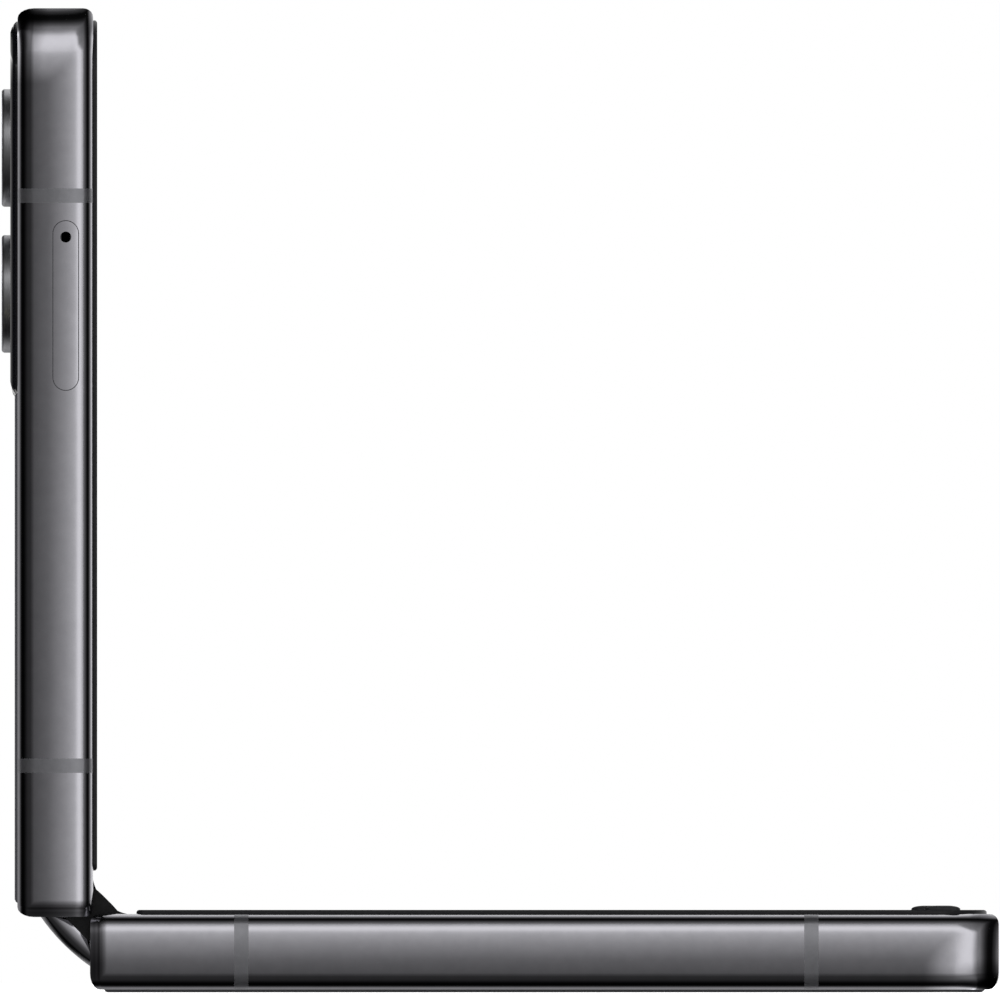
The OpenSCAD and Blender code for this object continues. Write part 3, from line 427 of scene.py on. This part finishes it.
# ---- Camera rings and lenses ----
# Each ring is turned from aluminium with a rounded edge, and rests on the window with a flange.
# The lens glass sits just below its lip over a stepped black barrel.
LENS_U, LENS_Y, LENS_R = (HALF_LEN - 11.8, HALF_LEN - 25.2), 23.5, 3.85  # the lenses' places and radius
WINDOW_TOP, RING_TOP, RING_FOOT = -0.4, -1.3, 0.6        # heights w of the window, the ring and its foot
RING_R, RING_FLANGE, RING_ROUND = 5.4, 0.8, 0.28         # its edge, its flange on the window, its rounding
LIP_GAP, LIP_STEP, LIP_ROUND, LIP_DROP = 0.05, 0.45, 0.1, 0.35   # the lip's place round the lens
LENS_SINK, LENS_RISE, LENS_STEPS = 0.15, 0.12, 14        # lens top below the ring, its dome and its points


def revolved(name, profile, centre, steps=96):
    """Turns a closed profile of (radius, height w) round a w axis on the upper half.

    u and y are the centre's plus the radius times a cosine and a sine; zero radii close at one point.
    """
    profile = np.array(profile, float)
    around = np.linspace(0, 2 * np.pi, steps, endpoint=False)
    radius, height = profile[:, :1], profile[:, 1:]
    local = np.stack([centre[0] + radius * np.cos(around), centre[1] + radius * np.sin(around),
                      np.repeat(height, steps, 1)], -1).reshape(-1, 3)
    made = put_mesh(name, to_row(local, True), grid_faces(len(profile), steps, rows_meet=True))
    close(made)
    return made


def face_out(mesh, weld=0.0):
    """Turns every face outwards, after points and edges smaller than weld, in metres, are merged."""
    shape = bmesh.new()
    shape.from_mesh(mesh)
    if weld:
        bmesh.ops.remove_doubles(shape, verts=shape.verts, dist=weld)
        bmesh.ops.dissolve_degenerate(shape, edges=shape.edges, dist=weld)
    bmesh.ops.recalc_face_normals(shape, faces=shape.faces)
    shape.to_mesh(mesh)
    shape.free()


def close(made):
    """Welds seams and poles, turns every face outwards and keeps edges past 40 degrees sharp."""
    face_out(made.data, weld=1e-7)
    made.data.shade_smooth()
    made.data.set_sharp_from_angle(angle=math.radians(40))


def rounded_step(radius, height, r, out_first, count=5):
    """Quarter round from the side (radius, height + r) to the top (radius - r, height)."""
    a = np.linspace(0, np.pi / 2, count)
    points = np.c_[radius - r + r * np.cos(a), height + r - r * np.sin(a)]
    return (points if out_first else points[::-1]).tolist()


def radius_map(made, centre, full):
    """Gives a revolved piece a UV of its distance from the axis, as a share of the full radius."""
    mesh = made.data
    corner = values_of(mesh.loops, "vertex_index", kind=int)
    local = to_half(values_of(mesh.vertices, "co", 3) * 1000, True)[corner]
    reach = np.hypot(local[:, 0] - centre[0], local[:, 1] - centre[1]) / full
    mesh.uv_layers.new(name="radius").data.foreach_set("uv", np.c_[reach, np.zeros_like(reach)].ravel())


# The turned face is left satin, with a tool mark about every 0.8 mm.
turned_metal = grained("turned_aluminium", "#d6d6da", "#dcdce0", (0.36, 0.44), 1.0, 1.2, dent=0)
# Rings of the barrel show through the coated front glass, and a violet coating colours the pupil.
lens_coating, tree = blank("coated_lens_glass")
radius = add(tree, "ShaderNodeUVMap", uv_map="radius").outputs[0]
radius = add(tree, "ShaderNodeSeparateXYZ", {0: radius}).outputs["X"]
tone = add(tree, "ShaderNodeValToRGB", {"Fac": radius}, stops=[
    (0.0, "#05050b"), (0.16, "#1a1836"), (0.27, "#0a0a16"), (0.3, "#1d1d24"), (0.34, "#08080b"),
    (0.5, "#0b0b10"), (0.53, "#26262b"), (0.56, "#0a0a0c"), (0.78, "#0c0c0f"), (0.82, "#1b1b1f"),
    (0.86, "#050506"), (1.0, "#050506")])
shader = add(tree, "ShaderNodeBsdfPrincipled", {
    "Base Color": tone.outputs["Color"], "Roughness": 0.06, "IOR": 1.6, "Coat Weight": 1.0,
    "Coat Roughness": 0.01})
add(tree, "ShaderNodeOutputMaterial", {"Surface": shader.outputs[0]})
ring_profile = ([(LENS_R + LIP_GAP, RING_FOOT), (RING_R - RING_FLANGE, RING_FOOT),
                 (RING_R - RING_FLANGE, WINDOW_TOP), (RING_R, WINDOW_TOP)]
                + rounded_step(RING_R, RING_TOP, RING_ROUND, True)
                + rounded_step(LENS_R + LIP_STEP, RING_TOP, LIP_ROUND, False, 3)
                + [(LENS_R + LIP_GAP, RING_TOP + LIP_DROP)])
r = np.linspace(LENS_R, 0, LENS_STEPS)
dome_top = RING_TOP + LENS_SINK + LENS_RISE * (r / LENS_R) ** 2
lens_profile = [(0, 0.0), (LENS_R, 0.0)] + np.c_[r, dome_top].tolist()
rings, lenses = [], []
for k, u in enumerate(LENS_U):
    rings.append(revolved(f"camera_ring_{k}", ring_profile, (u, LENS_Y), 128))
    lenses.append(revolved(f"camera_lens_{k}", lens_profile, (u, LENS_Y)))
    radius_map(lenses[k], (u, LENS_Y), LENS_R)
for group, made, material, slot_name in [("camera_rings", rings, turned_metal, "camera_metal"),
                                         ("camera_lenses", lenses, lens_coating, "lens_glass")]:
    for piece in made:
        piece.data.materials.append(material)
        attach(piece, "upper_half")
    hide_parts(group)

# ---- Flexible inner screen ----
# One laminate of ultra-thin glass and film, glued flat on both halves and left to curl freely over the hinge.
# It is made in two pieces that meet on the fold's middle line, and each curls from there down to its half's
# face.
FACE_W, SCREEN_T = 7.02, 0.5                     # height w of the screen's face, and the sheet's thickness
SCREEN_Y, SCREEN_END = 32.9, 79.8                # half its width, and the u at which it ends
FOLD_R, SHEET_EDGE = 4.0, 0.12                   # radius of its curl, and the rounding of its long edges
ARC_STEPS, FLAT_STEPS, ACROSS_STEPS = 24, 40, 9  # points along its curl, its flat part and its width
TILT = math.radians(45)                          # lean of each half from the spine's own p and q
P_WAY, Q_WAY = np.array([math.cos(TILT), -math.sin(TILT)]), np.array([math.sin(TILT), math.cos(TILT)])


def fold_path():
    """Face line of the lower piece in row X and Z: an arc from the middle of the fold, then straight."""
    lean = np.linspace(0, TILT, ARC_STEPS)
    # the arc meets the straight face where its height in the row is the face's
    sink = (FACE_W - SPINE[1]) / math.cos(TILT) + FOLD_R / math.cos(TILT)
    arc = SPINE + np.outer(FOLD_R * np.sin(lean), P_WAY) + np.outer(sink - FOLD_R * np.cos(lean), Q_WAY)
    straight = np.linspace(arc[-1][0], SCREEN_END - HALF_LEN / 2, FLAT_STEPS)[1:]
    return np.r_[arc, np.c_[straight, np.full(FLAT_STEPS - 1, FACE_W)]]


def tube(name, points, cols):
    """Skins rows of points that each run round in a ring of so many columns, with a lid at both ends."""
    rows = len(points) // cols
    lids = [list(range(cols)), list(range((rows - 1) * cols, rows * cols))]
    made = put_mesh(name, points, grid_faces(rows, cols) + lids)
    close(made)
    return made


def swept_sheet(name, path, mirrored):
    """Sweeps the sheet's section along a path in X and Z, closed at both ends.

    A point is the path's, less the path's upward way times the point's depth.
    """
    step = np.gradient(path, axis=0)
    step /= np.linalg.norm(step, axis=1)[:, None]
    up = np.c_[-step[:, 1], step[:, 0]]
    level = np.linspace(-SCREEN_Y + 2 * SHEET_EDGE, SCREEN_Y - 2 * SHEET_EDGE, ACROSS_STEPS)
    across = np.r_[-SCREEN_Y, -SCREEN_Y + SHEET_EDGE, level, SCREEN_Y - SHEET_EDGE, SCREEN_Y]
    depth = np.r_[SHEET_EDGE, np.zeros(ACROSS_STEPS + 2), SHEET_EDGE]
    ring_y, ring_d = np.r_[across, across[::-1]], np.r_[depth, (SCREEN_T - depth)[::-1]]
    x = path[:, None, 0] - up[:, None, 0] * ring_d
    z = path[:, None, 1] - up[:, None, 1] * ring_d
    points = np.stack([x, np.broadcast_to(ring_y, x.shape), z], -1).reshape(-1, 3)
    if mirrored:                                 # reflection across the spine's middle plane swaps the halves
        points = to_row(to_half(points, False), True)
    return tube(name, points, len(ring_y))


# Switched off, the film over the pixels looks deep black with a soft coated gloss, rippled every 8 mm or so.
screen_film = grained("screen_laminate", "#08080a", "#0b0b0e", (0.08, 0.13), per_mm=0.12, detail=2.0,
                      dent=0.03, depth=0.1, IOR=1.5)
path = fold_path()
for side, upper, body in halves:
    sheet = swept_sheet(f"{side}_screen_sheet", path, upper)
    sheet.data.materials.append(screen_film)
    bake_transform(sheet)
    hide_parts(f"{side}_screen", *([] if upper else ["screen_fold"]))

# ---- Front camera ----
# A pinhole in the screen with a small black glass over the front camera.
# Its top stands a few hundredths of a millimetre above the screen's face, so that it shows as its own disc.
FRONT_R, FRONT_AT = 1.75, (HALF_LEN - 6, 0)
FRONT_PROFILE = [(0, 6.9), (FRONT_R, 6.9), (FRONT_R, 7.03), (1.6, 7.05), (0.9, 7.06), (0, 7.06)]
eye = revolved("front_camera_eye", FRONT_PROFILE, FRONT_AT, 48)
radius_map(eye, FRONT_AT, FRONT_R)
eye.data.materials.append(lens_coating)
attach(eye, "upper_half")

# ---- Screen rims ----
# Moulded soft black plastic glued over the screen's border, with a rounded outer edge.
# It covers the sheet's edge at both sides and the free end, and stands a little above the sheet's face.
BORDER_IN, BORDER_START = 1.1, 4.3               # its inset at the free end, and the u at which it starts
BORDER_Y, BORDER_CORNER = 35.0, 0.6              # half its width, and its corner at the hinge
BORDER_TILT = ([7.1, 7.3, 7.43, 7.47], [0, 8, 40, 62])
# The mould is spark-eroded: its pits, truly about 0.05 mm wide, are drawn 0.2 mm wide so that they show.
rim_plastic, tree = blank("moulded_rim_plastic")
spot = add(tree, "ShaderNodeTexCoord").outputs["Object"]
pit = add(tree, "ShaderNodeTexVoronoi", {"Vector": spot, "Scale": 5 * PER_MM}).outputs["Distance"]
tone = add(tree, "ShaderNodeValToRGB", {"Fac": pit}, stops=[(0.0, "#101012"), (1.0, "#161619")])
dent = add(tree, "ShaderNodeBump", {"Height": pit, "Strength": 0.1, "Distance": 0.02 / 1000})
shader = add(tree, "ShaderNodeBsdfPrincipled", {
    "Base Color": tone.outputs["Color"], "Roughness": 0.48, "IOR": 1.5, "Specular IOR Level": 0.3,
    "Normal": dent.outputs[0]})
add(tree, "ShaderNodeOutputMaterial", {"Surface": shader.outputs[0]})
for side, upper, body in halves:
    border = polished(f"{side}_screen_rim", f"{side}_screen_border", upper, BORDER_TILT,
                      (BORDER_START, HALF_LEN - BORDER_IN, BORDER_Y, BORDER_CORNER, FREE_R - BORDER_IN))
    border.data.materials.append(rim_plastic)
    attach(border, body)

# ---- Screen bumpers ----
# Two soft pads on the lower half's rim that the upper half closes against.
# They are moulded in matt black rubber with a low dome, and glued on top of the screen's rim.
PAD_U, PAD_Y, PAD_LEN, PAD_W = HALF_LEN - 5.2, 33.5, 2.8, 1.4    # a pad's place, length and width
PAD_LOW, PAD_TOP = 7.4, 7.87                     # heights w of its foot and its top
PAD_EDGE, PAD_FOOT = 0.14, 0.3                   # its upright edge, and the inset of its underside
PAD_ROWS, PAD_STEPS = 8, 48                      # points up its dome and round it
# Rubber dust in the mould leaves it matt, with a grain about 0.4 mm wide.
pad_rubber = grained("moulded_pad_rubber", "#141416", "#1a1a1d", 0.6, per_mm=2.5, detail=4.0, dent=0.1,
                     depth=0.02)


def pad(name, centre_y):
    """A stadium in plan with a short upright edge under a dome: inset and height follow a quarter circle."""
    rise = np.linspace(0, np.pi / 2, PAD_ROWS, endpoint=False)
    inset = np.r_[PAD_FOOT, 0.0, PAD_W / 2 * (1 - np.cos(rise))]
    height = np.r_[PAD_LOW, PAD_LOW, PAD_LOW + PAD_EDGE + (PAD_TOP - PAD_LOW - PAD_EDGE) * np.sin(rise)]
    a = np.linspace(0, 2 * np.pi, PAD_STEPS, endpoint=False)
    r = np.maximum(PAD_W / 2 - inset, 0)[:, None]
    u = PAD_U + np.sign(np.cos(a)) * (PAD_LEN - PAD_W) / 2 * (r / r[0]) ** 0.5 + r * np.cos(a)
    y = centre_y + r * np.sin(a)
    points = np.stack([u, y, np.repeat(height[:, None], PAD_STEPS, 1)], -1).reshape(-1, 3)
    return tube(name, to_row(points, False), PAD_STEPS)


pads = [pad(f"bumper_pad_{k}", s * PAD_Y) for k, s in enumerate((-1, 1))]
for piece in pads:
    piece.data.materials.append(pad_rubber)
    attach(piece, "lower_half")
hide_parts("screen_bumpers")

# ---- Card tray and keys ----
# Machined with the rim from the same bar and dyed with it, so their faces carry the rim's own curve.
# The tray's plate has a drilled hole for the eject pin; its wall and floor faces get a near-black material,
# which is painted shade.
HOLE_AT, HOLE_REACH = np.array([HALF_LEN - 20.85, 4.625]), 0.6   # its place in u and w, and a radius round it
HOLE_FROM = HALF_W - 0.1                         # the hole's own faces all lie inside this Y
# Painted shade: the hole's metal is drawn near black and without shine, for the shadow that fills it.
painted_hole_shade = grained("painted_shade_in_hole", "#020202", "#050505", 0.9, per_mm=2.0, detail=2.0, dent=0,
                     **{"Specular IOR Level": 0.0})
KEYS = [("sim_tray", "card_tray_plate", "card_tray"), ("volume_key", "volume_rocker_cap", "volume_rocker"),
        ("side_key", "side_button_cap", "side_button")]
for node, name, body in KEYS:
    cap = polished(node, name, True, RIM_TILT, FULL_OUTLINE, limit=25.0)
    cap.data.materials.append(anodised)
    if node == "sim_tray":
        # the eject hole's wall and floor faces take the painted shade
        cap.data.materials.append(painted_hole_shade)
        centre = values_of(cap.data.polygons, "center", 3) * 1000
        away = np.linalg.norm(to_half(centre, True)[:, [0, 2]] - HOLE_AT, axis=1)
        in_hole = (np.abs(centre[:, 1]) < HOLE_FROM) & (away < HOLE_REACH)
        cap.data.polygons.foreach_set("material_index", in_hole.astype(int))
    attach(cap, body)

# ---- Hinge spine ----
# An extruded aluminium trough with a low crown, polished and dyed as the frames are.
# Each end is closed by a cheek with a full round edge, which stands clear of the black end cap above it.
AXIS_P, AXIS_Q = 2.2, -1.34                      # a hinge axis in the spine's own p and q
SPINE_R, SPINE_HALF, SPINE_WALL = 3.95, 34.0, 0.85       # the trough's radius, half its length, and its wall
CROWN, CROWN_P, LIP_Q = 0.17, 3.15, -2.1         # the crown's rise, its half width, and height q of the lips
CHEEK_Q, CHEEK_LEN = -3.67, 2.0                  # height q of a cheek's straight edge, and its length in y
CHEEK_ROUND = 0.9                                # radius of its round edge
CHEEK_FALL, FALL_FROM = 0.12, 1.0                # its dip to the straight edge, and where that starts
ROUND_SHARE, CHEEK_GAP = 0.6, 0.01               # the greatest share that is round; slack at the straight edge
# share of the way from a cheek's round edge to its straight one, at each row of points
CHEEK_ROWS = np.array([0, 0, 0.01, 0.03, 0.07, 0.11, 0.16, 0.2, 0.25, 0.31, 0.39, 0.47, 0.56, 0.64, 0.72, 0.8,
                       0.9, 1])
# the same share, and the lean of the polished surface there in degrees, outwards below zero
CHEEK_LEAN = ([0, 0.05, 0.11, 0.19, 0.24, 0.33, 0.44, 0.56, 0.64, 0.72, 0.89, 1],
              [-90, -84, -78, -70, -46, -28, -17, -6, 4, 11, 22, 24])


def trough_line(r, top, count=24):
    """Line of the trough at radius r in p and q, from one lip down round the crown to the other.

    Each side is an arc of radius r round its own axis, and the crown is one flatter arc between the two.
    """
    rise = CROWN + r - math.sqrt(r * r - (CROWN_P - AXIS_P) ** 2)
    crown_r = (CROWN_P ** 2 + rise ** 2) / (2 * rise)
    a = np.linspace(math.asin((AXIS_Q - top) / r), math.acos((CROWN_P - AXIS_P) / r), count)
    b = np.linspace(math.asin(CROWN_P / crown_r), 0, count // 2)[1:]
    half = np.r_[np.c_[AXIS_P + r * np.cos(a), AXIS_Q - r * np.sin(a)],
                 np.c_[crown_r * np.sin(b), AXIS_Q - r - CROWN + crown_r * (1 - np.cos(b))]]
    return np.r_[half, (half * (-1, 1))[-2::-1]]


def from_spine(p, q, y):
    """The spine's own p, q and y to row X, Y, Z: the fold's middle plus p times P_WAY and q times Q_WAY."""
    flat = SPINE + p[..., None] * P_WAY + q[..., None] * Q_WAY
    return np.stack([flat[..., 0], np.broadcast_to(y, p.shape), flat[..., 1]], -1).reshape(-1, 3)


outer, inner = trough_line(SPINE_R, LIP_Q), trough_line(SPINE_R - SPINE_WALL, LIP_Q)[::-1]
section, straight = np.r_[outer, inner], SPINE_HALF - CHEEK_LEN
trough = tube("spine_trough", np.concatenate([from_spine(*section.T, y) for y in (-straight, straight)]),
              len(section))
edge = trough_line(SPINE_R, CHEEK_Q)
out_way = np.gradient(edge, axis=0)
out_way = np.c_[-out_way[:, 1], out_way[:, 0]] / np.linalg.norm(out_way, axis=1)[:, None]
out_way *= np.sign((out_way * (edge - (0, AXIS_Q))).sum(1))[:, None]
# a cheek's rows step inwards from the trough's line, each by its share of the room to the straight edge
room = (CHEEK_Q + CHEEK_GAP - edge[:, 1]) / np.abs(out_way[:, 1])
inward = CHEEK_ROWS[:, None] * room
curl = np.clip(1 - inward / np.minimum(CHEEK_ROUND, ROUND_SHARE * room + 1e-6), 0, 1)
reach_y = SPINE_HALF - CHEEK_ROUND * (1 - np.sqrt(1 - curl ** 2))
reach_y -= CHEEK_FALL * np.clip(inward - FALL_FROM, 0, 1) ** 2
reach_y[0] = straight
at = edge - inward[..., None] * out_way
side_way = out_way[:, :1] * P_WAY + out_way[:, 1:] * Q_WAY
lean = np.radians(np.interp(CHEEK_ROWS, *CHEEK_LEAN))[:, None]
n, m = reach_y.shape
rim = [r * m + m - 1 for r in range(n - 2, -1, -1)] + [r * m for r in range(n - 1)]
lids = [list(range(m)), list(range((n - 1) * m, n * m)) + rim]
cheeks = []
for k, sign in enumerate((-1, 1)):
    cheek = put_mesh(f"spine_cheek_{k}", from_spine(at[..., 0], at[..., 1], sign * reach_y),
                     grid_faces(n, m, cols_meet=False) + lids)
    mesh = cheek.data
    face_out(mesh)
    mesh.shade_smooth()
    leaned = np.stack([-np.sin(lean) * side_way[:, 0], np.broadcast_to(sign * np.cos(lean), (n, m)),
                       -np.sin(lean) * side_way[:, 1]], -1).reshape(-1, 3)
    sides = values_of(mesh.polygons, "loop_total", kind=int)
    flat = np.repeat(values_of(mesh.polygons, "normal", 3), sides, axis=0)
    lid = np.repeat(sides > 4, sides)[:, None]
    leaned = leaned[values_of(mesh.loops, "vertex_index", kind=int)]
    mesh.normals_split_custom_set(np.where(lid, flat, leaned).tolist())
    cheeks.append(cheek)
for piece in (trough, *cheeks):
    piece.data.materials.append(anodised)
    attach(piece, "spine")
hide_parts("spine_cover")

# ---- Pieces that keep the solid's own shape ----
# Hinge works, connector, boards, cells and other inner pieces only need what they are made of.
# Each is a common stock finish: two close tones in a fine grain of that stock's own width.
CAP_PLASTIC = grained("moulded_cap_plastic", "#0d0d0e", "#121214", 0.5, **{"Specular IOR Level": 0.2})
HINGE_STEEL = grained("sintered_hinge_steel", "#8a8a8e", "#949498", 0.32, 1.0, 2.5)
SPRING_STEEL = grained("drawn_spring_steel", "#9a9a9e", "#a4a4a8", 0.25, 1.0, 4.0)
GEAR_BRASS = grained("cut_gear_brass", "#b39a5c", "#bfa566", 0.28, 1.0, 2.5)
SHEET_STEEL = grained("rolled_sheet_steel", "#88888c", "#909094", 0.3, 1.0, 0.8)
SCREW_STEEL = grained("plated_screw_steel", "#85858a", "#8f8f94", 0.3, 1.0, 3.0)
SOLDER_MASK = grained("soldered_board", "#0d3b24", "#14492d", 0.4, 0.0, 0.7, dent=0.2)
CELL_WRAP = grained("wrapped_cell_film", "#19191b", "#222225", 0.45, 0.0, 0.3, dent=0.12)
SHELL_STEEL = grained("drawn_shell_steel", "#9b9ba0", "#a5a5aa", 0.24, 1.0, 2.0)
BLACK_PLASTIC = grained("moulded_black_plastic", "#121214", "#19191c", 0.5)
COPPER_WIRE = grained("wound_copper", "#b4703f", "#c27c48", 0.3, 1.0, 2.5)
FLEX_FILM = grained("polyimide_film", "#a2631d", "#ad6d24", 0.25, 0.0, 0.4, dent=0.04)
CARD_PLASTIC = grained("moulded_card", "#cfc08c", "#d8caa0", 0.4)
FLASH_PLASTIC = grained("moulded_flash_lens", "#e6dca8", "#efe7bf", 0.12, 0.0, 0.9, dent=0.2)
CELL_PANEL = grained("outer_display_panel", "#08080a", "#0c0c0f", 0.1, 0.0, 0.3, dent=0.02)
FINISHES = {
    "fold_end_caps": CAP_PLASTIC, "hinge_blocks": HINGE_STEEL, "hinge_springs": SPRING_STEEL,
    "lower_rotators": HINGE_STEEL, "upper_rotators": HINGE_STEEL, "lower_levers": HINGE_STEEL,
    "upper_levers": HINGE_STEEL, "lower_idler_gears": GEAR_BRASS, "upper_idler_gears": GEAR_BRASS,
    "lower_wing_plate": SHEET_STEEL, "upper_wing_plate": SHEET_STEEL, "lower_screws": SCREW_STEEL,
    "upper_screws": SCREW_STEEL, "lower_board": SOLDER_MASK, "main_board": SOLDER_MASK,
    "lower_battery": CELL_WRAP, "upper_battery": CELL_WRAP, "usb_port": SHELL_STEEL,
    "usb_tongue": BLACK_PLASTIC, "loudspeaker": BLACK_PLASTIC, "vibration_motor": SHELL_STEEL,
    "earpiece": BLACK_PLASTIC, "front_camera": BLACK_PLASTIC, "camera_modules": BLACK_PLASTIC,
    "card_socket": SHELL_STEEL, "key_switches": BLACK_PLASTIC, "sim_card": CARD_PLASTIC,
    "flash_lens": FLASH_PLASTIC, "cover_display": CELL_PANEL, "lower_flex": FLEX_FILM,
    "upper_flex": FLEX_FILM, "fold_flex": FLEX_FILM, "charging_coil": COPPER_WIRE,
    "upper_screen": screen_film}
for node, material in FINISHES.items():
    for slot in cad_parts[node].material_slots:
        slot.link = "OBJECT"
        slot.material = material
